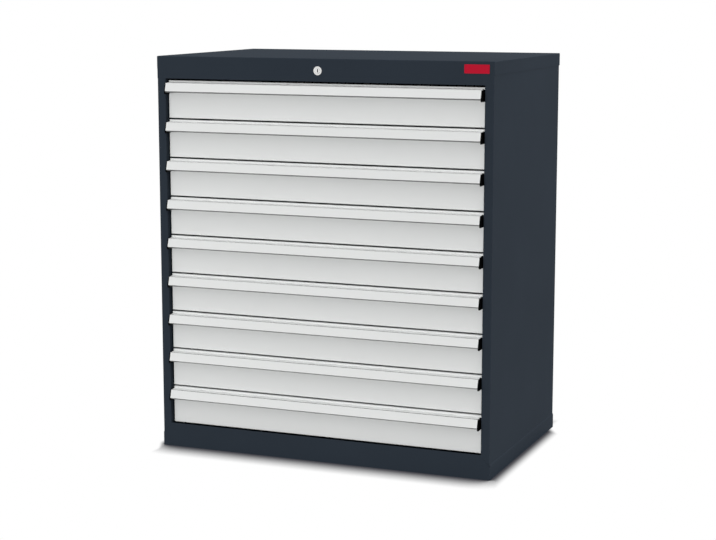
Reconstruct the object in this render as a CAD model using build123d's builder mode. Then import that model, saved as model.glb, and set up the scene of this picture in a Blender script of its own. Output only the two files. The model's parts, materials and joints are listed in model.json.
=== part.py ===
import os
from math import cos, radians, sin

from build123d import *

os.makedirs("parts", exist_ok=True)

# A floor-standing workshop cabinet with nine equal full-extension drawers and one lock for all of
# them. X runs along the width, Y from front to back, Z up from the floor. Millimetres throughout.

# Drawer stack
drawer_count = 9
front_height = 96.0
front_gap = 4.0
sill_gap = 1.0
header_gap = 5.0

# Case, folded from steel sheet
case_width = 902.0
case_depth = 568.0
sheet = 1.2
bend_inside = 0.8
header_height = 56.7
header_return = 20.0
cover_skirt = 32.0
plinth_height = 35.0
foot_flange = 30.0
sill_height = 61.5
sill_hem = 10.0
stile_width = 24.0
stile_return = 28.0
rear_flange = 20.0
side_lap = 20.0
floor_height = 40.0

# Drawer fronts and trays
front_recess = 12.3
front_depth = 10.0
side_gap = 2.5
tray_base_gap = 6.0
tray_top_gap = 16.0
tray_edge = 8.0
flange_lap = 10.0
rear_space = 38.0

# Handle strip, measured from the drawer front's face and top edge
handle_inset = 0.5
handle_wall = 1.5
handle_top = 4.5
crease_reach = 21.2
crease_drop = 1.4
lip_reach = 27.0
lip_drop = 22.1
lip_height = 3.6
lip_return = 5.5
lip_upturn = 4.0
back_leg = 19.0
groove_width = 5.0
groove_depth = 2.0
groove_setback = 1.2
cap_thickness = 2.7
cap_step = 1.0
cap_drop = 3.9
cap_radius = 3.0

# Slides and the posts that carry them
slide_space = 19.0
rail_height = 40.0
rail_lift = 37.0
rail_setback = 1.0
rail_sheet = 1.5
running_gap = 0.3
side_play = 0.5
post_width = 30.0
post_sheet = 1.5
post_gap = 2.0
post_rear_gap = 40.0
hook_height = 12.0
hook_width = 4.0
hook_reach = 4.0
hook_play = 0.5

# Lock
lock_offset = -3.6
lock_drop = 29.8
lock_face_diameter = 22.0
lock_face_height = 2.0
lock_body_diameter = 19.0
lock_body_length = 26.0
lock_fit = 0.1
nut_across_flats = 24.0
nut_thickness = 5.0
plug_diameter = 13.0
plug_proud = 0.4
key_slot_width = 2.2
key_slot_height = 8.0
key_slot_depth = 12.0

# Lock rod and lock bar
rod_diameter = 8.0
crank_radius = 12.0
crank_angle = 45.0
crank_width = 12.0
crank_thickness = 4.0
crank_gap = 0.5
pin_diameter = 5.0
pin_end = 1.0
slot_play = 0.8
bar_width = 40.0
bar_thickness = 3.0
bar_standoff = 8.0
bar_head_edge = 12.0
finger_length = 16.0
finger_width = 12.0
finger_gap = 4.0
catch_top = 60.0
catch_reach = 12.0
catch_lip = 12.0
catch_clearance = 1.5
bracket_sheet = 1.5
guide_diameter = 8.0
guide_across_flats = 13.0
guide_drop = 25.0
guide_head_height = 3.0
bearing_width = 40.0
bearing_drop = 14.0
bearing_setback = 30.0
bearing_flange = 15.0

# Heights
pitch = front_height + front_gap
stack_base = sill_height + sill_gap
stack_top = stack_base + drawer_count * pitch - front_gap
header_base = stack_top + header_gap
case_height = header_base + header_height
cover_underside = case_height - sheet
panel_base = plinth_height - side_lap
panel_height = cover_underside - bend_inside - panel_base
tray_base = stack_base + tray_base_gap
tray_height = front_height - tray_base_gap - tray_top_gap
tray_top = tray_base + tray_height
rail_centre = tray_base + rail_lift
lock_height = case_height - lock_drop

# Depths: the box from the handle lips to the back is centred on the origin
lip_in_front = lip_reach - front_recess
front_y = (lip_in_front - case_depth) / 2
back_y = front_y + case_depth
case_middle_y = (front_y + back_y) / 2
panel_inside_y = back_y - 2 * sheet
face_y = front_y + front_recess
tray_front_y = face_y + front_depth
tray_back_y = back_y - rear_space
tray_length = tray_back_y - tray_front_y
tray_middle_y = (tray_front_y + tray_back_y) / 2
rail_front_y = tray_front_y + rail_setback
rail_length = tray_length - rail_setback

# Widths, from the middle outwards
side_x = case_width / 2 - sheet
side_inside_x = side_x - sheet
opening_half = case_width / 2 - stile_width
front_half = opening_half - side_gap
tray_half = opening_half - slide_space
handle_half = front_half - handle_inset - cap_thickness
bend_outside = bend_inside + sheet


def save(part, name, lift=0.0):
    """Write one piece, raised to its place in the drawer stack."""
    piece = part.moved(Location((0, 0, lift)))
    piece.label = name
    export_step(piece, f"parts/{name}.step")


# Top cover: lid with a deep front apron, the header, and shorter skirts on the other sides. Below
# the skirts the apron ends flush with the side panels
with BuildPart() as top_cover:
    with BuildSketch(Plane.XY.offset(header_base)):
        with Locations((0, case_middle_y)):
            Rectangle(case_width, case_depth)
    extrude(amount=header_height)
    fillet(top_cover.edges().filter_by(Axis.Z), radius=bend_outside)
    fillet(top_cover.faces().sort_by(Axis.Z)[-1].edges(), radius=bend_outside)
    offset(amount=-sheet, openings=top_cover.faces().sort_by(Axis.Z)[0])
    with BuildSketch(Plane.XY.offset(header_base)):
        with Locations((0, front_y + bend_outside)):
            Rectangle(case_width, case_depth, align=(Align.CENTER, Align.MIN))
        with Locations((side_x, front_y)):
            Rectangle(sheet, case_depth, align=(Align.MIN, Align.MIN))
        with Locations((-side_x, front_y)):
            Rectangle(sheet, case_depth, align=(Align.MAX, Align.MIN))
    extrude(amount=header_height - cover_skirt, mode=Mode.SUBTRACT)
    with BuildSketch(Plane.XY.offset(header_base)):
        with Locations((0, front_y)):
            Rectangle(2 * opening_half, header_return, align=(Align.CENTER, Align.MIN))
    extrude(amount=sheet)
    with BuildSketch(Plane.XZ.offset(-front_y)):
        with Locations((lock_offset, lock_height)):
            Circle(lock_body_diameter / 2 + lock_fit)
    extrude(amount=-sheet, mode=Mode.SUBTRACT)
save(top_cover.part, "top_cover")

# Side panel: one sheet with the front stile, its inner return and a rear flange folded from it
with BuildPart() as right_side_panel:
    with BuildSketch(Plane.XY.offset(panel_base)):
        with BuildLine():
            FilletPolyline(
                (opening_half, front_y + stile_return),
                (opening_half, front_y),
                (side_x, front_y),
                (side_x, panel_inside_y),
                (side_x - rear_flange, panel_inside_y),
                radius=bend_outside,
            )
            offset(amount=sheet, side=Side.LEFT)
        make_face()
    extrude(amount=panel_height)
    # The stile ends below the header, and above a mitre cut against the sill
    with BuildSketch(Plane.XZ.offset(-front_y)):
        with Locations((opening_half, header_base)):
            Rectangle(stile_width, header_height, align=(Align.MIN, Align.MIN))
        with BuildLine():
            Polyline(
                (opening_half, panel_base),
                (opening_half, sill_height),
                (side_x, plinth_height),
                (side_x, panel_base),
                close=True,
            )
        make_face()
    extrude(amount=-bend_outside, mode=Mode.SUBTRACT)
    # Above the header's lower edge the inner return gives way to the header's return
    with BuildSketch(Plane.XY.offset(header_base)):
        with Locations((opening_half, front_y)):
            Rectangle(stile_width / 2, stile_return, align=(Align.MIN, Align.MIN))
    extrude(amount=header_height, mode=Mode.SUBTRACT)
save(right_side_panel.part, "right_side_panel")

with BuildPart() as left_side_panel:
    mirror(right_side_panel.part, about=Plane.YZ)
save(left_side_panel.part, "left_side_panel")

# Back panel: a flat sheet over the side panels' rear flanges
with BuildPart() as back_panel:
    with BuildSketch(Plane.XZ.offset(-panel_inside_y)):
        with Locations((0, panel_base)):
            Rectangle(
                2 * (side_x - bend_inside), panel_height, align=(Align.CENTER, Align.MIN)
            )
    extrude(amount=-sheet)
save(back_panel.part, "back_panel")

# Plinth: skirt on four sides with a foot flange turned in, and above its front the sill rail with a
# hem folded back along its top
with BuildPart() as base_plinth:
    with BuildSketch():
        with Locations((0, case_middle_y)):
            RectangleRounded(case_width, case_depth, bend_outside)
            RectangleRounded(
                case_width - 2 * sheet, case_depth - 2 * sheet, bend_inside, mode=Mode.SUBTRACT
            )
    extrude(amount=plinth_height)
    with BuildSketch():
        with Locations((0, case_middle_y)):
            RectangleRounded(case_width, case_depth, bend_outside)
            Rectangle(
                case_width - 2 * foot_flange, case_depth - 2 * foot_flange, mode=Mode.SUBTRACT
            )
    extrude(amount=sheet)
    with BuildSketch(Plane.XZ.offset(-front_y)):
        with BuildLine():
            Polyline(
                (-side_x + bend_inside, plinth_height - sheet),
                (side_x - bend_inside, plinth_height - sheet),
                (side_x - bend_inside, plinth_height),
                (opening_half, sill_height),
                (-opening_half, sill_height),
                (-side_x + bend_inside, plinth_height),
                close=True,
            )
        make_face()
    extrude(amount=-sheet)
    with BuildSketch(Plane.XY.offset(sill_height)):
        with Locations((0, front_y)):
            Rectangle(2 * opening_half, 2 * sheet, align=(Align.CENTER, Align.MIN))
    extrude(amount=-sill_hem)
    sill_edges = base_plinth.edges().filter_by(Axis.X).group_by(Axis.Z)[-1]
    fillet(sill_edges, radius=bend_inside)
save(base_plinth.part, "base_plinth")

# Floor pan: shallow sheet pan, open below, that stands on the foot flange
with BuildPart() as floor_pan:
    with BuildSketch(Plane.XY.offset(sheet)):
        with Locations((0, front_y + sheet)):
            Rectangle(
                2 * (opening_half - running_gap),
                case_depth - 4 * sheet,
                align=(Align.CENTER, Align.MIN),
            )
    extrude(amount=floor_height - sheet)
    offset(amount=-sheet, openings=floor_pan.faces().sort_by(Axis.Z)[0])
save(floor_pan.part, "floor_pan")

# Slotted posts: channels against the side panels, with a slot for each runner's hook
front_post_y = front_y + stile_return + post_gap
rear_post_y = tray_back_y - post_rear_gap - post_width
hook_rows = [front_post_y + post_width / 2, rear_post_y + post_width / 2]
rail_heights = [rail_centre + number * pitch for number in range(drawer_count)]

with BuildPart() as slotted_posts:
    with BuildSketch(Plane.XY.offset(floor_height)):
        for post_y in (front_post_y, rear_post_y):
            with BuildLine():
                Polyline(
                    (side_inside_x, post_y + post_width),
                    (opening_half, post_y + post_width),
                    (opening_half, post_y),
                    (side_inside_x, post_y),
                )
                offset(amount=post_sheet, side=Side.LEFT, kind=Kind.INTERSECTION)
            make_face()
    extrude(amount=header_base - floor_height)
    with BuildSketch(Plane.YZ.offset(opening_half)):
        with Locations(*[(row, height) for row in hook_rows for height in rail_heights]):
            Rectangle(hook_width + 2 * hook_play, hook_height + 2 * hook_play)
    extrude(amount=post_sheet, mode=Mode.SUBTRACT)
    mirror(about=Plane.YZ)
save(slotted_posts.part, "slotted_posts")

# Slide sections, drawn for the right side and nested into each other: the runner rail on the
# posts, the middle rail inside it and the rail on the tray inside that
runner_half = rail_height / 2
middle_half = runner_half - rail_sheet - running_gap
tray_rail_half = middle_half - rail_sheet - running_gap
middle_web_x = opening_half - rail_sheet - side_play
rail_tip_x = tray_half + rail_sheet + 2 * side_play
tray_rail_tip_x = middle_web_x - rail_sheet - side_play

with BuildSketch() as runner_section:
    with BuildLine():
        Polyline(
            (rail_tip_x, -runner_half),
            (opening_half, -runner_half),
            (opening_half, runner_half),
            (rail_tip_x, runner_half),
        )
        offset(amount=rail_sheet, side=Side.LEFT, kind=Kind.INTERSECTION)
    make_face()

with BuildSketch() as middle_section:
    with BuildLine():
        Polyline(
            (rail_tip_x, -middle_half),
            (middle_web_x, -middle_half),
            (middle_web_x, middle_half),
            (rail_tip_x, middle_half),
        )
        offset(amount=rail_sheet, side=Side.LEFT, kind=Kind.INTERSECTION)
    make_face()

with BuildSketch() as tray_rail_section:
    with BuildLine():
        Polyline(
            (tray_rail_tip_x, tray_rail_half),
            (tray_half, tray_rail_half),
            (tray_half, -tray_rail_half),
            (tray_rail_tip_x, -tray_rail_half),
        )
        offset(amount=rail_sheet, side=Side.LEFT, kind=Kind.INTERSECTION)
    make_face()

# Runner rails, hooked into the posts
with BuildPart() as right_runner_rails:
    with BuildSketch(Plane.XZ.offset(-rail_front_y)):
        with Locations(*[(0, height) for height in rail_heights]):
            add(runner_section.sketch)
    extrude(amount=-rail_length)
    with BuildSketch(Plane.YZ.offset(opening_half)):
        with Locations(*[(row, height) for row in hook_rows for height in rail_heights]):
            Rectangle(hook_width, hook_height)
    extrude(amount=hook_reach)
save(right_runner_rails.part, "right_runner_rails")

with BuildPart() as left_runner_rails:
    mirror(right_runner_rails.part, about=Plane.YZ)
save(left_runner_rails.part, "left_runner_rails")

# Lock housing: round face on the header, threaded body through it
with BuildPart() as lock_housing:
    with BuildSketch(Plane.XZ.offset(-front_y)):
        with Locations((lock_offset, lock_height)):
            Circle(lock_face_diameter / 2)
    extrude(amount=lock_face_height)
    chamfer(lock_housing.faces().sort_by(Axis.Y)[0].edges(), length=lock_face_height / 2)
    with BuildSketch(Plane.XZ.offset(-front_y)):
        with Locations((lock_offset, lock_height)):
            Circle(lock_body_diameter / 2)
    extrude(amount=-lock_body_length)
    with BuildSketch(Plane.XZ.offset(lock_face_height - front_y)):
        with Locations((lock_offset, lock_height)):
            Circle(plug_diameter / 2 + lock_fit)
    extrude(amount=-lock_face_height - lock_body_length, mode=Mode.SUBTRACT)
save(lock_housing.part, "lock_housing")

# Lock nut behind the header
with BuildPart() as lock_nut:
    with BuildSketch(Plane.XZ.offset(-front_y - sheet)):
        with Locations((lock_offset, lock_height)):
            RegularPolygon(nut_across_flats / 2, 6, major_radius=False)
            Circle(lock_body_diameter / 2 + lock_fit, mode=Mode.SUBTRACT)
    extrude(amount=-nut_thickness)
save(lock_nut.part, "lock_nut")

# Lock plug with its upright key slot
plug_front_y = front_y - lock_face_height - plug_proud
rod_front_y = front_y + lock_body_length
with BuildPart() as lock_plug:
    with BuildSketch(Plane.XZ.offset(-plug_front_y)):
        with Locations((lock_offset, lock_height)):
            Circle(plug_diameter / 2)
    extrude(amount=plug_front_y - rod_front_y)
    with BuildSketch(Plane.XZ.offset(-plug_front_y)):
        with Locations((lock_offset, lock_height)):
            Rectangle(key_slot_width, key_slot_height)
    extrude(amount=-key_slot_depth, mode=Mode.SUBTRACT)
save(lock_plug.part, "lock_plug")

# Lock rod: turns with the plug, its crank at the back shifts the lock bar to the left
bar_rear_y = panel_inside_y - bar_standoff
bar_front_y = bar_rear_y - bar_thickness
crank_rear_y = bar_front_y - crank_gap
crank_side = crank_radius * sin(radians(crank_angle))
crank_drop = crank_radius * cos(radians(crank_angle))
bar_travel = 2 * crank_side
with BuildPart() as lock_rod:
    with BuildSketch(Plane.XZ.offset(-rod_front_y)):
        with Locations((lock_offset, lock_height)):
            Circle(rod_diameter / 2)
    extrude(amount=rod_front_y - crank_rear_y)
    with BuildSketch(Plane.XZ.offset(-crank_rear_y)):
        with Locations((lock_offset + crank_side / 2, lock_height - crank_drop / 2)):
            SlotCenterToCenter(crank_radius, crank_width, rotation=crank_angle - 90)
    extrude(amount=crank_thickness)
    with BuildSketch(Plane.XZ.offset(-crank_rear_y)):
        with Locations((lock_offset + crank_side, lock_height - crank_drop)):
            Circle(pin_diameter / 2)
    extrude(amount=crank_rear_y - bar_rear_y - pin_end)
save(lock_rod.part, "lock_rod")

# Lock bar: an upright slot for the crank pin, a level slot for each guide pin, and a finger that
# steps in front of each tray's catch
finger_top = tray_base + catch_top - bracket_sheet - catch_clearance
finger_base = finger_top - finger_length
finger_y = tray_back_y + finger_gap
bar_top = lock_height - crank_drop + bar_head_edge
guide_heights = [finger_base - guide_drop + number * pitch for number in (1, drawer_count - 1)]
with BuildPart() as lock_bar:
    with BuildSketch(Plane.XZ.offset(-bar_front_y)):
        with Locations((lock_offset, bar_top)):
            Rectangle(bar_width, bar_top - finger_base, align=(Align.CENTER, Align.MAX))
        with Locations((lock_offset + crank_side, lock_height - (crank_drop + crank_radius) / 2)):
            Rectangle(
                pin_diameter + 2 * slot_play,
                crank_radius - crank_drop + pin_diameter + 2 * slot_play,
                mode=Mode.SUBTRACT,
            )
        with Locations(*[(lock_offset, height) for height in guide_heights]):
            Rectangle(
                bar_travel + guide_diameter + 2 * side_play,
                guide_diameter + 2 * running_gap,
                mode=Mode.SUBTRACT,
            )
    extrude(amount=-bar_thickness)
    with BuildSketch(Plane.YZ.offset(lock_offset)):
        for number in range(drawer_count):
            with BuildLine():
                Polyline(
                    (bar_front_y, finger_base + number * pitch),
                    (finger_y, finger_base + number * pitch),
                    (finger_y, finger_top + number * pitch),
                    (finger_y + bar_thickness, finger_top + number * pitch),
                    (finger_y + bar_thickness, finger_base + bar_thickness + number * pitch),
                    (bar_front_y, finger_base + bar_thickness + number * pitch),
                    close=True,
                )
            make_face()
    extrude(amount=finger_width / 2, both=True)
save(lock_bar.part, "lock_bar")

# Guides: pins between hexagonal spacers and heads that carry the lock bar on the back panel, and
# the rod's bearing plate
bearing_y = crank_rear_y - crank_thickness - bearing_setback
with BuildPart() as lock_guides:
    for height in guide_heights:
        with BuildSketch(Plane.XZ.offset(-panel_inside_y)):
            with Locations((lock_offset - crank_side, height)):
                RegularPolygon(guide_across_flats / 2, 6, major_radius=False)
        extrude(amount=bar_standoff - running_gap)
        with BuildSketch(Plane.XZ.offset(-panel_inside_y)):
            with Locations((lock_offset - crank_side, height)):
                Circle(guide_diameter / 2)
        extrude(amount=bar_standoff + bar_thickness + running_gap)
        with BuildSketch(Plane.XZ.offset(running_gap - bar_front_y)):
            with Locations((lock_offset - crank_side, height)):
                RegularPolygon(guide_across_flats / 2, 6, major_radius=False)
        extrude(amount=guide_head_height)
    with BuildSketch(Plane.XZ.offset(-bearing_y)):
        with Locations((lock_offset, cover_underside)):
            Rectangle(
                bearing_width,
                cover_underside - lock_height + bearing_drop,
                align=(Align.CENTER, Align.MAX),
            )
        with Locations((lock_offset, lock_height)):
            Circle(rod_diameter / 2 + lock_fit, mode=Mode.SUBTRACT)
    extrude(amount=-bracket_sheet)
    with BuildSketch(Plane.XY.offset(cover_underside)):
        with Locations((lock_offset, bearing_y)):
            Rectangle(bearing_width, bearing_flange, align=(Align.CENTER, Align.MIN))
    extrude(amount=-bracket_sheet)
save(lock_guides.part, "lock_guides")

# The drawer's pieces are drawn at the lowest place in the stack and raised when they are written.
# Tray: open sheet box with turned-out side edges, a rail on each side and the lock's catch
with BuildPart() as tray:
    with BuildSketch(Plane.XY.offset(tray_base)):
        with Locations((0, tray_middle_y)):
            Rectangle(2 * tray_half, tray_length)
    extrude(amount=tray_height)
    offset(amount=-sheet, openings=tray.faces().sort_by(Axis.Z)[-1])
    with BuildSketch(Plane.XY.offset(tray_top)):
        with Locations((tray_half + tray_edge / 2, tray_middle_y)):
            Rectangle(tray_edge, tray_length)
        with Locations((-tray_half - tray_edge / 2, tray_middle_y)):
            Rectangle(tray_edge, tray_length)
    extrude(amount=-sheet)
    with BuildSketch(Plane.XZ.offset(-rail_front_y)):
        with Locations((0, rail_centre)):
            add(tray_rail_section.sketch)
        mirror(about=Plane.YZ)
    extrude(amount=-rail_length)
    with BuildSketch(Plane.YZ.offset(lock_offset - bar_travel)):
        with BuildLine():
            Polyline(
                (tray_back_y, tray_base + catch_top),
                (tray_back_y + catch_reach, tray_base + catch_top),
                (tray_back_y + catch_reach, tray_base + catch_top - catch_lip),
            )
            offset(amount=bracket_sheet, side=Side.RIGHT, kind=Kind.INTERSECTION)
        make_face()
    extrude(amount=finger_width / 2 + catch_clearance, both=True)

# Front: folded pan with rounded edges, its rear flanges lap onto the tray's front wall
with BuildPart() as front:
    with BuildSketch(Plane.XZ.offset(-face_y)):
        with Locations((0, stack_base)):
            Rectangle(2 * front_half, front_height, align=(Align.CENTER, Align.MIN))
    extrude(amount=-front_depth)
    fillet(front.faces().sort_by(Axis.Y)[0].edges(), radius=bend_outside)
    offset(amount=-sheet, openings=front.faces().sort_by(Axis.Y)[-1])
    with BuildSketch(Plane.XZ.offset(-tray_front_y)):
        with Locations((0, stack_base)):
            Rectangle(2 * front_half, front_height, align=(Align.CENTER, Align.MIN))
        with Locations((0, tray_base + flange_lap)):
            Rectangle(
                2 * (tray_half - flange_lap),
                tray_height - 2 * flange_lap,
                align=(Align.CENTER, Align.MIN),
                mode=Mode.SUBTRACT,
            )
    extrude(amount=sheet)

# Handle: full-length strip with a label groove in a thicker edge behind its crease, and a lip
# folded in at the bottom
strip_top = stack_base + front_height - handle_top
strip_base = strip_top - lip_drop - lip_height
crease_point = (face_y - crease_reach, strip_top - crease_drop)
lip_point = (face_y - lip_reach, strip_top - lip_drop)
with BuildPart() as handle:
    with BuildSketch(Plane.YZ):
        with BuildLine():
            Polyline(
                (face_y, strip_top - back_leg),
                (face_y, strip_top),
                crease_point,
                lip_point,
                (face_y - lip_reach + lip_return, strip_base),
                (face_y - lip_reach + lip_return, strip_base + lip_upturn),
            )
            offset(amount=handle_wall, side=Side.RIGHT, kind=Kind.INTERSECTION)
        make_face()
        with Locations(crease_point):
            Rectangle(
                groove_setback + groove_width + handle_wall,
                groove_depth + handle_wall,
                align=(Align.MIN, Align.MAX),
            )
        with Locations((face_y - crease_reach + groove_setback, strip_top)):
            Rectangle(
                groove_width,
                crease_drop + groove_depth,
                align=(Align.MIN, Align.MAX),
                mode=Mode.SUBTRACT,
            )
    extrude(amount=handle_half, both=True)

# End caps: plates over both ends of the handle, a little below its strip and lip
cap_base = strip_base - cap_drop
with BuildPart() as end_caps:
    with BuildSketch(Plane.YZ.offset(handle_half)):
        with BuildLine():
            FilletPolyline(
                (face_y, cap_base),
                (face_y, strip_top - cap_step),
                (face_y - crease_reach, strip_top - crease_drop - cap_step),
                lip_point,
                (face_y - lip_reach, cap_base),
                radius=[0, 0, 0, 0, cap_radius],
                close=True,
            )
        make_face()
    extrude(amount=cap_thickness)
    mirror(about=Plane.YZ)

# Middle rails: run half as far as the drawer
with BuildPart() as middle_rails:
    with BuildSketch(Plane.XZ.offset(-rail_front_y)):
        with Locations((0, rail_centre)):
            add(middle_section.sketch)
    extrude(amount=-rail_length)
    mirror(about=Plane.YZ)

for number in range(1, drawer_count + 1):
    lift = (drawer_count - number) * pitch
    save(tray.part, f"drawer_{number}_tray", lift)
    save(front.part, f"drawer_{number}_front", lift)
    save(handle.part, f"drawer_{number}_handle", lift)
    save(end_caps.part, f"drawer_{number}_end_caps", lift)
    save(middle_rails.part, f"drawer_{number}_middle_rails", lift)
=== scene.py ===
import json
import math

import bmesh
import bpy
from mathutils import Matrix, Vector


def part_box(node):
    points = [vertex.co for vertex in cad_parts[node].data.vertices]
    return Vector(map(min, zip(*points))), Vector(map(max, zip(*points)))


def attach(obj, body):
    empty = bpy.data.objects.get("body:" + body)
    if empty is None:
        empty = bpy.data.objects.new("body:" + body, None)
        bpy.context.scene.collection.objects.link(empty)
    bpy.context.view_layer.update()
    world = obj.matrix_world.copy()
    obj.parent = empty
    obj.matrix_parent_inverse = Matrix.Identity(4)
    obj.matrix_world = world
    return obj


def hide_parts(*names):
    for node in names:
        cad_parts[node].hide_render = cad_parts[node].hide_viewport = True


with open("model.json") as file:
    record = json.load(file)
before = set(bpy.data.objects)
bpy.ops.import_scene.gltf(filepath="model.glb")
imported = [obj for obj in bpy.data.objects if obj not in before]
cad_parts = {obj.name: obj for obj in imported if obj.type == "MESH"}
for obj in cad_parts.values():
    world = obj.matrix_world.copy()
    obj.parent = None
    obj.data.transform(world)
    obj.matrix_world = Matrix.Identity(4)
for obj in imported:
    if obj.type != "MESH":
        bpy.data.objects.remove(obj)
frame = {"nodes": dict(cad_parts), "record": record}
nodes = frame["nodes"]
scene = bpy.context.scene
scene.view_settings.view_transform = "Standard"
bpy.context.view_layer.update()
drawerCount = sum(1 for name in nodes if name.endswith("_tray"))
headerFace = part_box("base_plinth")[0].y  # the header's face is in the plinth's front plane
print("cabinet loaded:", len(nodes), "nodes,", drawerCount, "drawers")


# Where the picture was taken from: metres and radians, lens and sensor in millimetres
viewPoint = {
    "place": (1.68894, -4.17291, 1.19242),
    "turn": 0.38657,  # to the left, about the upright
    "tilt": 0.16281,  # downwards
    "lens": 86.52,
    "sensor": 36.0,
    "farthest": 60.0,
}
viewCamera = bpy.data.objects.new("viewCamera", bpy.data.cameras.new("viewCamera"))
viewCamera.location = viewPoint["place"]
viewCamera.rotation_euler = (math.pi / 2 - viewPoint["tilt"], 0, viewPoint["turn"])
viewCamera.data.sensor_width = viewPoint["sensor"]
viewCamera.data.lens = viewPoint["lens"]
viewCamera.data.clip_end = viewPoint["farthest"]
scene.collection.objects.link(viewCamera)
scene.camera = viewCamera
print("camera set")


def fill(tree, socket, value):
    # a socket takes a plain value, or a link from another node's output
    if isinstance(value, bpy.types.NodeSocket):
        tree.links.new(value, socket)
    else:
        socket.default_value = value


def addNode(tree, kind, inputs=None, **settings):
    node = tree.nodes.new(kind)
    for key, value in settings.items():
        setattr(node, key, value)
    for key, value in (inputs or {}).items():
        fill(tree, node.inputs[key], value)
    return node


def addMath(tree, operation, *values):
    return addNode(tree, "ShaderNodeMath", dict(enumerate(values)), operation=operation).outputs[0]


def addRange(tree, value, span, low=0.0, high=1.0, ramp="LINEAR"):
    # the value's span becomes low to high, and nothing goes past them
    start, end = span
    inputs = {"Value": value, "From Min": start, "From Max": end, "To Min": low, "To Max": high}
    return addNode(tree, "ShaderNodeMapRange", inputs, interpolation_type=ramp).outputs["Result"]


def splitAxes(tree, vector):
    return addNode(tree, "ShaderNodeSeparateXYZ", {0: vector}).outputs


def scaleColour(tree, colour, tone):
    inputs = {0: colour, "Scale": tone}
    return addNode(tree, "ShaderNodeVectorMath", inputs, operation="SCALE").outputs["Vector"]


# Studio: a white sky that is brighter overhead, a pale floor and soft panels around the cabinet
studio = {
    "white": (1, 1, 1, 1),
    "skyLow": 0.30,
    "skyRise": 1.5,  # added straight above
    "floorTone": 0.15,
    "floorReach": 14.0,
    "floorSides": 96,
    "floorDrop": 0.0004,  # below the plinth's feet
    "contactReach": 0.10,  # how far the dark edge spreads from under the plinth
    "contactSamples": 32,
    "contactRange": (0.42, 0.97),
    "contactFall": 2.2,
    "contactTone": (0.035, 0.035, 0.045),
    "sideReach": (0.027, 0.0375),  # beyond this the shade is gone at left and at right
    "cornerShift": 0.022,  # the shade lies this much to the front
    "cornerRange": (-0.04, 0.022),  # it fades here, about the right back and left front corners
    "panels": {
        "frontPanel": {"place": (-0.8, -5.0, 0.75), "aim": (0.0, 0.0, 0.55),
                       "size": (4.0, 0.8), "watts": 120},
        "rightPanel": {"place": (4.6, 0.4, 1.2), "aim": (0.0, 0.2, 0.5),
                       "size": (2.4, 2.2), "watts": 100},
        "leftPanel": {"place": (-4.6, 0.4, 1.2), "aim": (0.0, 0.2, 0.5),
                      "size": (2.4, 2.2), "watts": 85},
        "rearPanel": {"place": (0.0, 3.2, 3.4), "aim": (0.0, 0.0, 0.8),
                      "size": (2.6, 1.6), "watts": 60},
    },
}


def showWhite(tree, output, lighting, shown):
    # lighting acts on the cabinet, shown is what the camera sees, also in gloss and through glass
    rays = addNode(tree, "ShaderNodeLightPath").outputs
    straight = addMath(tree, "MAXIMUM", rays["Is Camera Ray"], rays["Is Glossy Ray"])
    seen = addMath(tree, "MAXIMUM", straight, rays["Is Transmission Ray"])
    choose = addNode(tree, "ShaderNodeMixShader",
                     {0: seen, 1: lighting.outputs[0], 2: shown.outputs[0]})
    addNode(tree, output, {"Surface": choose.outputs[0]})


def makeSurround():
    world = bpy.data.worlds.new("studioSurround")
    scene.world = world
    world.use_nodes = True
    tree = world.node_tree
    tree.nodes.clear()
    up = splitAxes(tree, addNode(tree, "ShaderNodeTexCoord").outputs["Generated"])["Z"]
    square = addMath(tree, "MULTIPLY", up, up)
    level = addMath(tree, "MULTIPLY_ADD", square, studio["skyRise"], studio["skyLow"])
    light = addNode(tree, "ShaderNodeBackground", {"Color": studio["white"], "Strength": level})
    shown = addNode(tree, "ShaderNodeBackground", {"Color": studio["white"], "Strength": 1.0})
    showWhite(tree, "ShaderNodeOutputWorld", light, shown)


def contactShade(tree):
    # painted shadow in the floor's glow: 0 in the darkest shade around the plinth, 1 on the open
    # floor
    low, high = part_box("base_plinth")
    halfWidth, halfDepth = high.x, (high.y - low.y) / 2
    contact = addNode(tree, "ShaderNodeAmbientOcclusion", {"Distance": studio["contactReach"]},
                      samples=studio["contactSamples"])
    clear = addRange(tree, contact.outputs["AO"], studio["contactRange"])
    bare = addMath(tree, "POWER", clear, studio["contactFall"])
    axes = splitAxes(tree, addNode(tree, "ShaderNodeTexCoord").outputs["Object"])
    # how far out beside the plinth, as a share of the reach on that side
    outside = addMath(tree, "SUBTRACT", addMath(tree, "ABSOLUTE", axes["X"]), halfWidth)
    leftReach, rightReach = studio["sideReach"]
    perReach = addRange(tree, axes["X"], (-halfWidth, halfWidth), 1 / leftReach, 1 / rightReach)
    share = addMath(tree, "MULTIPLY", outside, perReach)
    # width times depth is greatest at the right back and left front corners
    along = addMath(tree, "ADD", axes["Y"], studio["cornerShift"] - (low.y + high.y) / 2)
    crossed = addMath(tree, "MULTIPLY", along, axes["X"])
    cornerSpan = [(halfDepth + reach) * halfWidth for reach in studio["cornerRange"]]
    corner = addRange(tree, crossed, cornerSpan, ramp="SMOOTHSTEP")
    beside = addRange(tree, addMath(tree, "ADD", share, corner), (0.0, 1.0), ramp="SMOOTHSTEP")
    return addMath(tree, "MAXIMUM", bare, beside)


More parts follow.
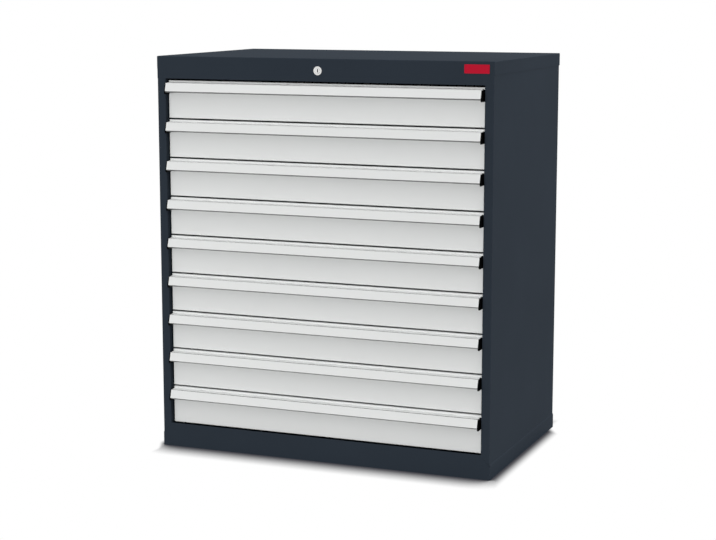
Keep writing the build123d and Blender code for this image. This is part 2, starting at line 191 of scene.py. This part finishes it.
def makeFloor():
    mesh = bpy.data.meshes.new("studioFloor")
    shape = bmesh.new()
    bmesh.ops.create_circle(shape, cap_ends=True, segments=studio["floorSides"],
                            radius=studio["floorReach"])
    shape.to_mesh(mesh)
    shape.free()
    floor = bpy.data.objects.new("studioFloor", mesh)
    floor.location.z = -studio["floorDrop"]
    scene.collection.objects.link(floor)
    paint = bpy.data.materials.new("studioFloor")
    paint.use_nodes = True
    tree = paint.node_tree
    tree.nodes.clear()
    tone = studio["floorTone"]
    matt = addNode(tree, "ShaderNodeBsdfDiffuse", {"Color": (tone, tone, tone, 1)})
    # the glow the camera sees carries the painted shadow around the plinth
    tint = addNode(tree, "ShaderNodeMix", {
        "Factor": contactShade(tree), "A": (*studio["contactTone"], 1), "B": studio["white"],
    }, data_type="RGBA")
    glow = addNode(tree, "ShaderNodeEmission", {"Color": tint.outputs["Result"], "Strength": 1.0})
    showWhite(tree, "ShaderNodeOutputMaterial", matt, glow)
    mesh.materials.append(paint)


def makePanels():
    # they light the cabinet, but show neither in its gloss nor to the camera
    for name, panel in studio["panels"].items():
        data = bpy.data.lights.new(name, "AREA")
        data.shape = "RECTANGLE"
        data.size, data.size_y = panel["size"]
        data.energy = panel["watts"]
        lamp = bpy.data.objects.new(name, data)
        lamp.location = panel["place"]
        toward = Vector(panel["aim"]) - Vector(panel["place"])
        lamp.rotation_euler = toward.to_track_quat("-Z", "Y").to_euler()
        lamp.visible_glossy = False
        lamp.visible_camera = False
        scene.collection.objects.link(lamp)


makeSurround()
makeFloor()
makePanels()
print("studio set")


# Grain of the two finishes: where the noise values lie, shares of the layers, relief in metres
coatGrain = {"noise": (0.3, 0.7), "cloudScale": 2.6, "sandShare": 0.35, "depth": 0.0004}
steelGrain = {"noise": (0.35, 1.15), "spangleShare": 0.5, "depth": 0.0002}
# Painted shade on the grips, from darkest to full tone by how much a face looks up
facingShadeSpan = {"front": (0.5, 0.9), "under": (-0.75, -0.35)}


def newGroup(name, inputs):
    group = bpy.data.node_groups.new(name, "ShaderNodeTree")
    for socket, value in inputs.items():
        kind = "Float" if isinstance(value, float) else {3: "Vector", 4: "Color"}[len(value)]
        made = group.interface.new_socket(name=socket, in_out="INPUT",
                                          socket_type="NodeSocket" + kind)
        made.default_value = value
    for socket, kind in (("Color", "Color"), ("Roughness", "Float"), ("Normal", "Vector")):
        group.interface.new_socket(name=socket, in_out="OUTPUT", socket_type="NodeSocket" + kind)
    place = addNode(group, "ShaderNodeTexCoord").outputs["Object"]
    return group, addNode(group, "NodeGroupInput").outputs, place


def addNoise(tree, place, scale, detail, roughness):
    inputs = {"Vector": place, "Scale": scale, "Detail": detail, "Roughness": roughness}
    return addNode(tree, "ShaderNodeTexNoise", inputs).outputs["Fac"]


def finishGroup(group, given, colour, gloss, height, depth):
    bump = addNode(group, "ShaderNodeBump",
                   {"Strength": given["Relief"], "Distance": depth, "Height": height})
    addNode(group, "NodeGroupOutput",
            {"Color": colour, "Roughness": gloss, "Normal": bump.outputs["Normal"]})
    return group


def makeCoatGroup():
    # Baked powder coat: orange-peel ripple, a finer sand and slow drifts of tone
    group, given, place = newGroup("powderCoat", {
        "Paint": (0.5, 0.5, 0.5, 1), "Drift": 0.04, "Ripple Scale": 420.0, "Sand Scale": 1900.0,
        "Relief": 0.12, "Gloss Low": 0.42, "Gloss High": 0.55})
    grain = coatGrain
    ripple = addNoise(group, place, given["Ripple Scale"], detail=2.0, roughness=0.45)
    sand = addNoise(group, place, given["Sand Scale"], detail=1.0, roughness=0.5)
    cloud = addNoise(group, place, grain["cloudScale"], detail=3.0, roughness=0.6)
    darkest = addMath(group, "SUBTRACT", 1.0, given["Drift"])
    lightest = addMath(group, "ADD", 1.0, given["Drift"])
    tone = addRange(group, cloud, grain["noise"], darkest, lightest)
    colour = scaleColour(group, given["Paint"], tone)
    gloss = addRange(group, ripple, grain["noise"], given["Gloss Low"], given["Gloss High"])
    relief = addMath(group, "MULTIPLY_ADD", sand, grain["sandShare"], ripple)
    return finishGroup(group, given, colour, gloss, relief, grain["depth"])


def makeSteelGroup():
    # Rolled steel: streaks along the strip, over a plated spangle
    group, given, place = newGroup("rolledSteel", {
        "Metal": (0.6, 0.6, 0.6, 1), "Spangle Scale": 150.0, "Streak": (400.0, 12.0, 400.0),
        "Spread": 0.12, "Gloss Low": 0.25, "Gloss High": 0.42, "Relief": 0.06})
    grain = steelGrain
    along = addNode(group, "ShaderNodeVectorMath", {0: place, 1: given["Streak"]},
                    operation="MULTIPLY")
    streak = addNoise(group, along.outputs[0], scale=1.0, detail=3.0, roughness=0.6)
    spangle = addNode(group, "ShaderNodeTexVoronoi",
                      {"Vector": place, "Scale": given["Spangle Scale"], "Randomness": 1.0})
    cell = addNode(group, "ShaderNodeSeparateColor", {0: spangle.outputs["Color"]}).outputs[0]
    both = addMath(group, "MULTIPLY_ADD", cell, grain["spangleShare"], streak)
    darkest = addMath(group, "SUBTRACT", 1.0, given["Spread"])
    colour = scaleColour(group, given["Metal"], addRange(group, both, grain["noise"], darkest))
    gloss = addRange(group, both, grain["noise"], given["Gloss Low"], given["Gloss High"])
    return finishGroup(group, given, colour, gloss, streak, grain["depth"])


def addFacingShade(tree, paint, facingShade):
    # painted shade: the paint is darker where it faces the front, and much darker where it faces
    # down
    upward = splitAxes(tree, addNode(tree, "ShaderNodeNewGeometry").outputs["Normal"])["Z"]
    for side, span in facingShadeSpan.items():
        paint = scaleColour(tree, paint, addRange(tree, upward, span, facingShade[side]))
    return paint


def makeFinish(name, group, values, fixed, facingShade=None):
    # colour, roughness and relief come from a group, and fixed values sit on the shader
    finish = bpy.data.materials.new(name)
    finish.use_nodes = True
    tree = finish.node_tree
    shader = tree.nodes["Principled BSDF"]
    skin = addNode(tree, "ShaderNodeGroup", values, node_tree=group).outputs
    paint = addFacingShade(tree, skin["Color"], facingShade) if facingShade else skin["Color"]
    linked = {"Base Color": paint, "Roughness": skin["Roughness"], "Normal": skin["Normal"]}
    for key, value in {**fixed, **linked}.items():
        fill(tree, shader.inputs[key], value)
    return finish


powderCoat = makeCoatGroup()
rolledSteel = makeSteelGroup()
finishRows = {
    "casePaint": (
        powderCoat,
        {"Paint": (0.0260, 0.0343, 0.0458, 1), "Drift": 0.05, "Ripple Scale": 520.0,
         "Relief": 0.22, "Gloss Low": 0.46, "Gloss High": 0.60},
        {"Specular IOR Level": 0.0, "Coat Weight": 0.05, "Coat Roughness": 0.35}),
    "drawerPaint": (
        powderCoat,
        {"Paint": (0.776, 0.788, 0.782, 1), "Drift": 0.012, "Ripple Scale": 420.0,
         "Relief": 0.10, "Gloss Low": 0.40, "Gloss High": 0.50},
        {"Specular IOR Level": 0.5}),
    "gripPaint": (
        powderCoat,
        {"Paint": (0.880, 0.893, 0.886, 1), "Drift": 0.010, "Ripple Scale": 520.0,
         "Relief": 0.06, "Gloss Low": 0.30, "Gloss High": 0.38},
        {"Specular IOR Level": 0.5},
        # painted shade on the grips' front- and down-facing faces, so their upward faces come out
        # lighter
        {"front": 0.825, "under": 0.27}),
    "capPlastic": (
        powderCoat,
        {"Paint": (0.0016, 0.0016, 0.0018, 1), "Drift": 0.08, "Ripple Scale": 1500.0,
         "Sand Scale": 4000.0, "Relief": 0.25, "Gloss Low": 0.48, "Gloss High": 0.60},
        {"Specular IOR Level": 0.02}),
    "keywayShade": (
        rolledSteel,
        {"Metal": (0.020, 0.019, 0.018, 1), "Spangle Scale": 900.0,
         "Gloss Low": 0.5, "Gloss High": 0.7},
        {"Specular IOR Level": 0.1}),
    "lockMetal": (
        rolledSteel,
        {"Metal": (0.80, 0.80, 0.79, 1), "Spangle Scale": 60.0, "Streak": (900.0, 900.0, 60.0),
         "Spread": 0.05, "Gloss Low": 0.16, "Gloss High": 0.26, "Relief": 0.04},
        {"Metallic": 1.0}),
    "zincSteel": (
        rolledSteel,
        {"Metal": (0.60, 0.61, 0.62, 1), "Spangle Scale": 130.0},
        {"Metallic": 1.0}),
    "platePaint": (
        powderCoat,
        {"Paint": (0.47, 0.006, 0.026, 1), "Drift": 0.02, "Ripple Scale": 900.0,
         "Relief": 0.03, "Gloss Low": 0.28, "Gloss High": 0.36},
        {"Specular IOR Level": 0.1}),
}
finishes = {name: makeFinish(name, *row) for name, row in finishRows.items()}
slotFinish = {"case_paint": "casePaint", "drawer_paint": "drawerPaint", "grip_paint": "gripPaint",
              "cap_plastic": "capPlastic", "lock_metal": "lockMetal", "zinc_steel": "zincSteel"}
for part in frame["record"]["subparts"]:
    node = nodes[part["node"]]
    node.data.materials.clear()
    node.data.materials.append(finishes[slotFinish[part["material_slot"]]])
print("finishes set")


def meshFrom(name, shape, *paints):
    bmesh.ops.recalc_face_normals(shape, faces=shape.faces)
    mesh = bpy.data.meshes.new(name)
    shape.to_mesh(mesh)
    shape.free()
    for paint in paints:
        mesh.materials.append(finishes[paint])
    return mesh


def newPiece(mesh, body, slot, *replaced):
    # a finished mesh becomes a piece: it rides on a body and may stand for CAD nodes
    piece = bpy.data.objects.new(mesh.name, mesh)
    scene.collection.objects.link(piece)
    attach(piece, body)
    if replaced:
        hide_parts(*replaced)


def shadeSmooth(mesh, degrees):
    mesh.polygons.foreach_set("use_smooth", [True] * len(mesh.polygons))
    mesh.set_sharp_from_angle(angle=math.radians(degrees))


def bridge(shape, first, second, material=0):
    for step in range(len(first)):
        after = (step + 1) % len(first)
        face = shape.faces.new((first[step], first[after], second[after], second[step]))
        face.material_index = material


def barBetween(*sections):
    # a closed bar from one end section to the other
    shape = bmesh.new()
    ends = [[shape.verts.new(point) for point in section] for section in sections]
    bridge(shape, *ends)
    for end in ends:
        shape.faces.new(end)
    return shape


# Blank plate near the header's right end, bonded on
headPlate = {"left": 0.3755, "right": 0.4383, "low": 0.9910, "high": 1.0125, "thick": 0.0009,
             "corner": 0.0012, "cornerSteps": 4, "soften": 0.0003, "softSteps": 3, "softRound": 0.5}


def makeHeadPlate():
    plate = headPlate
    radius, steps = plate["corner"], plate["cornerSteps"]
    left, right = plate["left"] + radius, plate["right"] - radius
    low, high = plate["low"] + radius, plate["high"] - radius
    shape = bmesh.new()
    points = []
    for quarter, (x, z) in enumerate(((right, high), (left, high), (left, low), (right, low))):
        for step in range(steps + 1):
            angle = math.pi / 2 * (quarter + step / steps)
            across, up = radius * math.cos(angle), radius * math.sin(angle)
            points.append(shape.verts.new((x + across, headerFace, z + up)))
    back = shape.faces.new(points)
    pushed = bmesh.ops.extrude_face_region(shape, geom=[back])
    front = [item for item in pushed["geom"] if isinstance(item, bmesh.types.BMVert)]
    bmesh.ops.translate(shape, verts=front, vec=(0, -plate["thick"], 0))
    rim = [edge for edge in shape.edges if all(corner in front for corner in edge.verts)]
    bmesh.ops.bevel(shape, geom=rim, offset=plate["soften"], segments=plate["softSteps"],
                    affect="EDGES", profile=plate["softRound"])
    newPiece(meshFrom("headPlate", shape, "platePaint"), "cabinet", "cap_plastic")


makeHeadPlate()
print("head plate made")


# Lock: ring and core with a turned groove, and an upright keyway in the core
lockFace = {
    "steps": 72,
    "smoothAngle": 30,
    "rimRadius": 0.0110, "rimSoft": 0.0008, "rimRound": 0.3,
    "bodyRadius": 0.0095, "boreRadius": 0.0067,
    "groove": (0.0083, 0.0089, 0.0003),  # from, to, depth
    "coreRadius": 0.0065, "coreSoft": 0.0003,
    "keyway": (0.0022, 0.0080, 0.0110),  # width, height, depth
    "keywayRim": 0.0005,
}


def lockLoop(shape, depth, reach):
    # a loop about the lock's axis, which runs along Y; the reach is worked out per direction
    low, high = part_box("lock_housing")
    loop = []
    for step in range(lockFace["steps"]):
        angle = 2 * math.pi * step / lockFace["steps"]
        across, up = math.cos(angle), math.sin(angle)
        far = reach(across, up)
        loop.append(shape.verts.new(((low.x + high.x) / 2 + far * across, depth,
                                     (low.z + high.z) / 2 + far * up)))
    return loop


def lockRings(shape, profile):
    return [lockLoop(shape, depth, lambda across, up: radius) for radius, depth in profile]


def makeLockRing():
    sizes = lockFace
    front, back = (corner.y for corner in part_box("lock_housing"))
    inner, outer, depth = sizes["groove"]
    rim, body, bore = sizes["rimRadius"], sizes["bodyRadius"], sizes["boreRadius"]
    soft, cut = sizes["rimSoft"], sizes["rimRound"] * sizes["rimSoft"]
    shape = bmesh.new()
    rings = lockRings(shape, [
        (body, back), (body, headerFace), (rim, headerFace), (rim, front + soft),
        (rim - cut, front + cut), (rim - soft, front), (outer, front),
        (outer - depth, front + depth), (inner + depth, front + depth), (inner, front),
        (bore + depth, front), (bore, front + depth), (bore, back)])
    for first, second in zip(rings, rings[1:] + rings[:1]):
        bridge(shape, first, second)
    ring = meshFrom("lockRing", shape, "lockMetal")
    shadeSmooth(ring, sizes["smoothAngle"])
    newPiece(ring, "cabinet", "lock_metal", "lock_housing")


def makeLockCore():
    sizes = lockFace
    front, back = (corner.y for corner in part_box("lock_plug"))
    radius, soft, rim = sizes["coreRadius"], sizes["coreSoft"], sizes["keywayRim"]
    shape = bmesh.new()
    rings = lockRings(shape, [(radius, back), (radius, front + soft), (radius - soft, front)])
    for first, second in zip(rings, rings[1:]):
        bridge(shape, first, second)
    shape.faces.new(rings[0])
    # the keyway's outlines follow the rings' directions from the middle
    width, height, deep = sizes["keyway"]
    tiny = 1e-9  # keeps a level or upright direction from dividing by nothing
    outlines = []
    for grow, depth in ((rim, front), (0, front + rim), (0, front + deep)):
        halfWidth, halfHeight = width / 2 + grow, height / 2 + grow
        outlines.append(lockLoop(shape, depth, lambda across, up: min(
            halfWidth / max(abs(across), tiny), halfHeight / max(abs(up), tiny))))
    bridge(shape, rings[-1], outlines[0])
    bridge(shape, outlines[0], outlines[1])
    bridge(shape, outlines[1], outlines[2], 1)
    shape.faces.new(outlines[2]).material_index = 1
    core = meshFrom("lockCore", shape, "lockMetal", "keywayShade")
    shadeSmooth(core, sizes["smoothAngle"])
    newPiece(core, "lock_core", "lock_metal", "lock_plug")


makeLockRing()
makeLockCore()
print("lock made")


# Dark plastic strip along each handle's groove, a little below the ridge in front of it: painted
# shade, a dark strip put where the groove lies in shade
grooveShadeStrip = {"grooveFront": 0.0200, "grooveBack": 0.0150, "ridge": 0.0014, "sunk": 0.00030,
               "tall": 0.0013, "play": 0.0001, "edge": 0.0003, "lip": 0.0009, "lipFoot": 0.0012,
               "channel": 0.0002, "endGap": 0.0010}


def makeGrooveShadeStrips():
    sizes = grooveShadeStrip
    edge, lip, foot = sizes["edge"], sizes["lip"], sizes["lipFoot"]
    for number in range(1, drawerCount + 1):
        low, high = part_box(f"drawer_{number}_handle")
        front = high.y - sizes["grooveFront"] + sizes["play"]
        back = high.y - sizes["grooveBack"] - sizes["play"]
        top = high.z - sizes["ridge"] - sizes["sunk"]
        base, channel = top - sizes["tall"], top - sizes["channel"]
        section = [(front, base), (front, top - edge), (front + edge, top), (front + lip, top),
                   (front + foot, channel), (back - foot, channel), (back - lip, top),
                   (back - edge, top), (back, top - edge), (back, base)]
        ends = [[(x, y, z) for y, z in section]
                for x in (low.x + sizes["endGap"], high.x - sizes["endGap"])]
        insert = meshFrom(f"grooveShadeStrip_{number}", barBetween(*ends), "capPlastic")
        newPiece(insert, f"drawer_{number}", "cap_plastic")


makeGrooveShadeStrips()
print("label inserts made")


# Painted-over sealing bead on the plinth's upper edge, where the panels come out of it
skirtBead = {"rise": 0.0060, "sunk": 0.0004, "cornerGap": 0.0030, "backReach": 0.0005}


def skirtTop():
    # the highest edge of the plinth at its back, away from the sill in front
    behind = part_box("base_plinth")[1].y - skirtBead["backReach"]
    corners = [corner.co for corner in nodes["base_plinth"].data.vertices]
    return max(corner.z for corner in corners if corner.y > behind)


def makeSkirtBeads():
    low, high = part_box("base_plinth")
    sunk, gap, base = skirtBead["sunk"], skirtBead["cornerGap"], skirtTop()
    foot, rise = base - sunk, base + skirtBead["rise"]
    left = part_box("left_side_panel")[0].x + sunk
    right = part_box("right_side_panel")[1].x - sunk
    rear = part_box("back_panel")[1].y - sunk
    along, across = (low.y + gap, high.y - gap), (low.x + gap, high.x - gap)
    beads = {
        "rightBead": [[(high.x, y, base), (right, y, foot), (right, y, rise)] for y in along],
        "leftBead": [[(low.x, y, base), (left, y, foot), (left, y, rise)] for y in along],
        "backBead": [[(x, high.y, base), (x, rear, foot), (x, rear, rise)] for x in across],
    }
    for name, ends in beads.items():
        newPiece(meshFrom(name, barBetween(*ends), "casePaint"), "cabinet", "case_paint")


makeSkirtBeads()
print("skirt beads made")


def newShapeTree(name, inputs):
    tree = bpy.data.node_groups.new(name, "GeometryNodeTree")
    tree.interface.new_socket(name="Geometry", in_out="INPUT", socket_type="NodeSocketGeometry")
    sockets = {}
    for socket, kind in inputs.items():
        made = tree.interface.new_socket(name=socket, in_out="INPUT",
                                         socket_type="NodeSocket" + kind)
        sockets[socket] = made.identifier
    tree.interface.new_socket(name="Geometry", in_out="OUTPUT", socket_type="NodeSocketGeometry")
    return tree, sockets, addNode(tree, "NodeGroupInput").outputs


def addRows(tree, across, along, width, run, count):
    # a flat grid of two rows, with so many points along each
    return addNode(tree, "GeometryNodeMeshGrid", {
        "Size " + across: width, "Size " + along: run,
        "Vertices " + across: 2, "Vertices " + along: count}).outputs["Mesh"]


def runTree(carrier, tree, sockets, values):
    # the values go in by identifier, the result comes back as a plain mesh
    modifier = carrier.modifiers.new(tree.name, "NODES")
    modifier.node_group = tree
    for socket, value in values.items():
        modifier[sockets[socket]] = value
    scene.collection.objects.link(carrier)
    bpy.context.view_layer.update()
    shaped = carrier.evaluated_get(bpy.context.evaluated_depsgraph_get())
    mesh = bpy.data.meshes.new_from_object(shaped)
    carrier.modifiers.remove(modifier)
    start = carrier.data
    bpy.data.objects.remove(carrier)
    bpy.data.meshes.remove(start)
    return mesh


# Trays with upright slots for dividers all round, cut into the upper wall
traySlots = {"width": 0.0028, "tall": 0.0105, "fromTop": 0.0085, "pitch": 0.025,
             "endMargin": 0.030, "wall": 0.0012, "reach": 0.0030, "edge": 0.0080,
             "rail": 0.0560, "railPlay": 0.0001, "merge": 1e-6}


def makeTrayTree():
    # rows of cutters on the four walls, taken away from the tray
    tree, sockets, given = newShapeTree("dividerSlots", {
        "Side Count": "Int", "End Count": "Int", "Pitch": "Float", "Side Span": "Float",
        "End Span": "Float", "Middle": "Vector", "Side Cutter": "Vector", "End Cutter": "Vector",
        "Rail From": "Float", "Rail Below": "Float", "Paint": "Material", "Metal": "Material"})
    joined = addNode(tree, "GeometryNodeJoinGeometry")
    for wall, across, along in (("Side", "X", "Y"), ("End", "Y", "X")):
        count = given[wall + " Count"]
        run = addMath(tree, "MULTIPLY", addMath(tree, "SUBTRACT", count, 1.0), given["Pitch"])
        rows = addRows(tree, across, along, given[wall + " Span"], run, count)
        placed = addNode(tree, "GeometryNodeTransform",
                         {"Geometry": rows, "Translation": given["Middle"]})
        block = addNode(tree, "GeometryNodeMeshCube", {"Size": given[wall + " Cutter"]})
        copies = addNode(tree, "GeometryNodeInstanceOnPoints", {
            "Points": placed.outputs["Geometry"], "Instance": block.outputs["Mesh"]})
        fill(tree, joined.inputs["Geometry"], copies.outputs["Instances"])
    cutters = addNode(tree, "GeometryNodeRealizeInstances",
                      {"Geometry": joined.outputs["Geometry"]})
    cut = addNode(tree, "GeometryNodeMeshBoolean", {
        "Mesh 1": given["Geometry"], "Mesh 2": cutters.outputs["Geometry"],
    }, operation="DIFFERENCE", solver="EXACT")
    # the slide rails on the tray's sides are plated, everything else is painted
    axes = splitAxes(tree, addNode(tree, "GeometryNodeInputPosition").outputs["Position"])
    beside = addNode(tree, "FunctionNodeCompare", {
        "A": addMath(tree, "ABSOLUTE", axes["X"]), "B": given["Rail From"],
    }, data_type="FLOAT", operation="GREATER_THAN")
    below = addNode(tree, "FunctionNodeCompare", {"A": axes["Z"], "B": given["Rail Below"]},
                    data_type="FLOAT", operation="LESS_THAN")
    rail = addNode(tree, "FunctionNodeBooleanMath",
                   {0: beside.outputs[0], 1: below.outputs[0]}, operation="AND")
    whole = addNode(tree, "GeometryNodeRealizeInstances", {"Geometry": cut.outputs["Mesh"]})
    painted = addNode(tree, "GeometryNodeSetMaterial",
                      {"Geometry": whole.outputs["Geometry"], "Material": given["Paint"]})
    plated = addNode(tree, "GeometryNodeSetMaterial", {
        "Geometry": painted.outputs["Geometry"], "Selection": rail.outputs[0],
        "Material": given["Metal"]})
    addNode(tree, "NodeGroupOutput", {"Geometry": plated.outputs["Geometry"]})
    return tree, sockets


def makeSlottedTrays():
    sizes = traySlots
    pitch, margin, wall, reach = (sizes[key] for key in ("pitch", "endMargin", "wall", "reach"))
    tree, sockets = makeTrayTree()
    low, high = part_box("drawer_1_tray")
    plain = nodes["drawer_1_tray"].data.copy()
    shape = bmesh.new()
    shape.from_mesh(plain)
    bmesh.ops.remove_doubles(shape, verts=shape.verts, dist=sizes["merge"])
    shape.to_mesh(plain)
    shape.free()
    rim = [corner.co for corner in plain.vertices if corner.co.z > high.z - wall / 2]
    # half the width over the side walls, without the edges that turn out at their top
    half = max(corner.x for corner in rim) - sizes["edge"]
    front, back = low.y, max(corner.y for corner in rim)
    mesh = runTree(bpy.data.objects.new("trayBlank", plain), tree, sockets, {
        "Side Count": int((back - front - 2 * margin) / pitch) + 1,
        "End Count": int((2 * half - 2 * margin) / pitch) + 1,
        "Pitch": pitch,
        "Side Span": 2 * half - wall,
        "End Span": back - front - wall,
        "Middle": (0.0, (front + back) / 2, high.z - sizes["fromTop"]),
        "Side Cutter": (reach, sizes["width"], sizes["tall"]),
        "End Cutter": (sizes["width"], reach, sizes["tall"]),
        "Rail From": half + sizes["railPlay"],
        "Rail Below": low.z + sizes["rail"],
        "Paint": finishes["drawerPaint"],
        "Metal": finishes["zincSteel"],
    })
    print("slotted tray:", len(mesh.polygons), "faces")
    for number in range(1, drawerCount + 1):
        name = f"drawer_{number}_tray"
        shifted = mesh.copy()
        shifted.transform(Matrix.Translation((0, 0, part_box(name)[0].z - low.z)))
        shifted.name = f"slottedTray_{number}"
        newPiece(shifted, f"drawer_{number}", "drawer_paint", name)
    bpy.data.meshes.remove(mesh)


makeSlottedTrays()
print("slotted trays made")


# Rivets of the back panel: a column on each side panel's flange, a row at the top and the bottom
backRivet = {"radius": 0.0040, "dome": 0.36, "segments": 20, "rings": 10, "inset": 0.012,
             "topInset": 0.055, "baseInset": 0.020, "columnCount": 10, "rowCount": 8,
             "columnMargin": 0.090, "rowMargin": 0.100}


def makeRivetTree():
    # upright columns and level rows, with a flattened ball on every point
    tree, sockets, given = newShapeTree("backRivets", {
        "Column Count": "Int", "Column Size": "Vector", "Column Place": "Vector",
        "Row Count": "Int", "Row Size": "Vector", "Row Place": "Vector", "Segments": "Int",
        "Rings": "Int", "Radius": "Float", "Flatten": "Vector", "Metal": "Material"})
    ball = addNode(tree, "GeometryNodeMeshUVSphere",
                   {key: given[key] for key in ("Segments", "Rings", "Radius")})
    head = addNode(tree, "GeometryNodeTransform",
                   {"Geometry": ball.outputs["Mesh"], "Scale": given["Flatten"]})
    joined = addNode(tree, "GeometryNodeJoinGeometry")
    for kind, across, along in (("Column", "X", "Y"), ("Row", "Y", "X")):
        size = splitAxes(tree, given[kind + " Size"])
        spans = {"X": size["X"], "Y": size["Z"]}  # the grid lies flat until it is stood up
        rows = addRows(tree, across, along, spans[across], spans[along], given[kind + " Count"])
        stood = addNode(tree, "GeometryNodeTransform", {
            "Geometry": rows, "Translation": given[kind + " Place"],
            "Rotation": (math.pi / 2, 0, 0)})
        copies = addNode(tree, "GeometryNodeInstanceOnPoints", {
            "Points": stood.outputs["Geometry"], "Instance": head.outputs["Geometry"],
            "Rotation": (-math.pi / 2, 0, 0)})
        fill(tree, joined.inputs["Geometry"], copies.outputs["Instances"])
    smooth = addNode(tree, "GeometryNodeSetShadeSmooth", {"Geometry": joined.outputs["Geometry"]})
    whole = addNode(tree, "GeometryNodeRealizeInstances", {"Geometry": smooth.outputs["Geometry"]})
    plated = addNode(tree, "GeometryNodeSetMaterial",
                     {"Geometry": whole.outputs["Geometry"], "Material": given["Metal"]})
    addNode(tree, "NodeGroupOutput", {"Geometry": plated.outputs["Geometry"]})
    return tree, sockets


def makeBackRivets():
    sizes = backRivet
    tree, sockets = makeRivetTree()
    low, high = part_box("back_panel")
    top, base = high.z - sizes["topInset"], low.z + sizes["baseInset"]
    width, place = high.x - low.x, ((low.x + high.x) / 2, high.y, (top + base) / 2)
    carrier = bpy.data.objects.new("rivetBlank", bpy.data.meshes.new("rivetBlank"))
    mesh = runTree(carrier, tree, sockets, {
        "Column Count": sizes["columnCount"],
        "Column Size": (width - 2 * sizes["inset"], 0.0, top - base - 2 * sizes["columnMargin"]),
        "Column Place": place,
        "Row Count": sizes["rowCount"],
        "Row Size": (width - 2 * sizes["rowMargin"], 0.0, top - base),
        "Row Place": place,
        "Segments": sizes["segments"],
        "Rings": sizes["rings"],
        "Radius": sizes["radius"],
        "Flatten": (1.0, 1.0, sizes["dome"]),
        "Metal": finishes["zincSteel"],
    })
    mesh.name = "backRivets"
    newPiece(mesh, "cabinet", "zinc_steel")


makeBackRivets()
print("back rivets made")
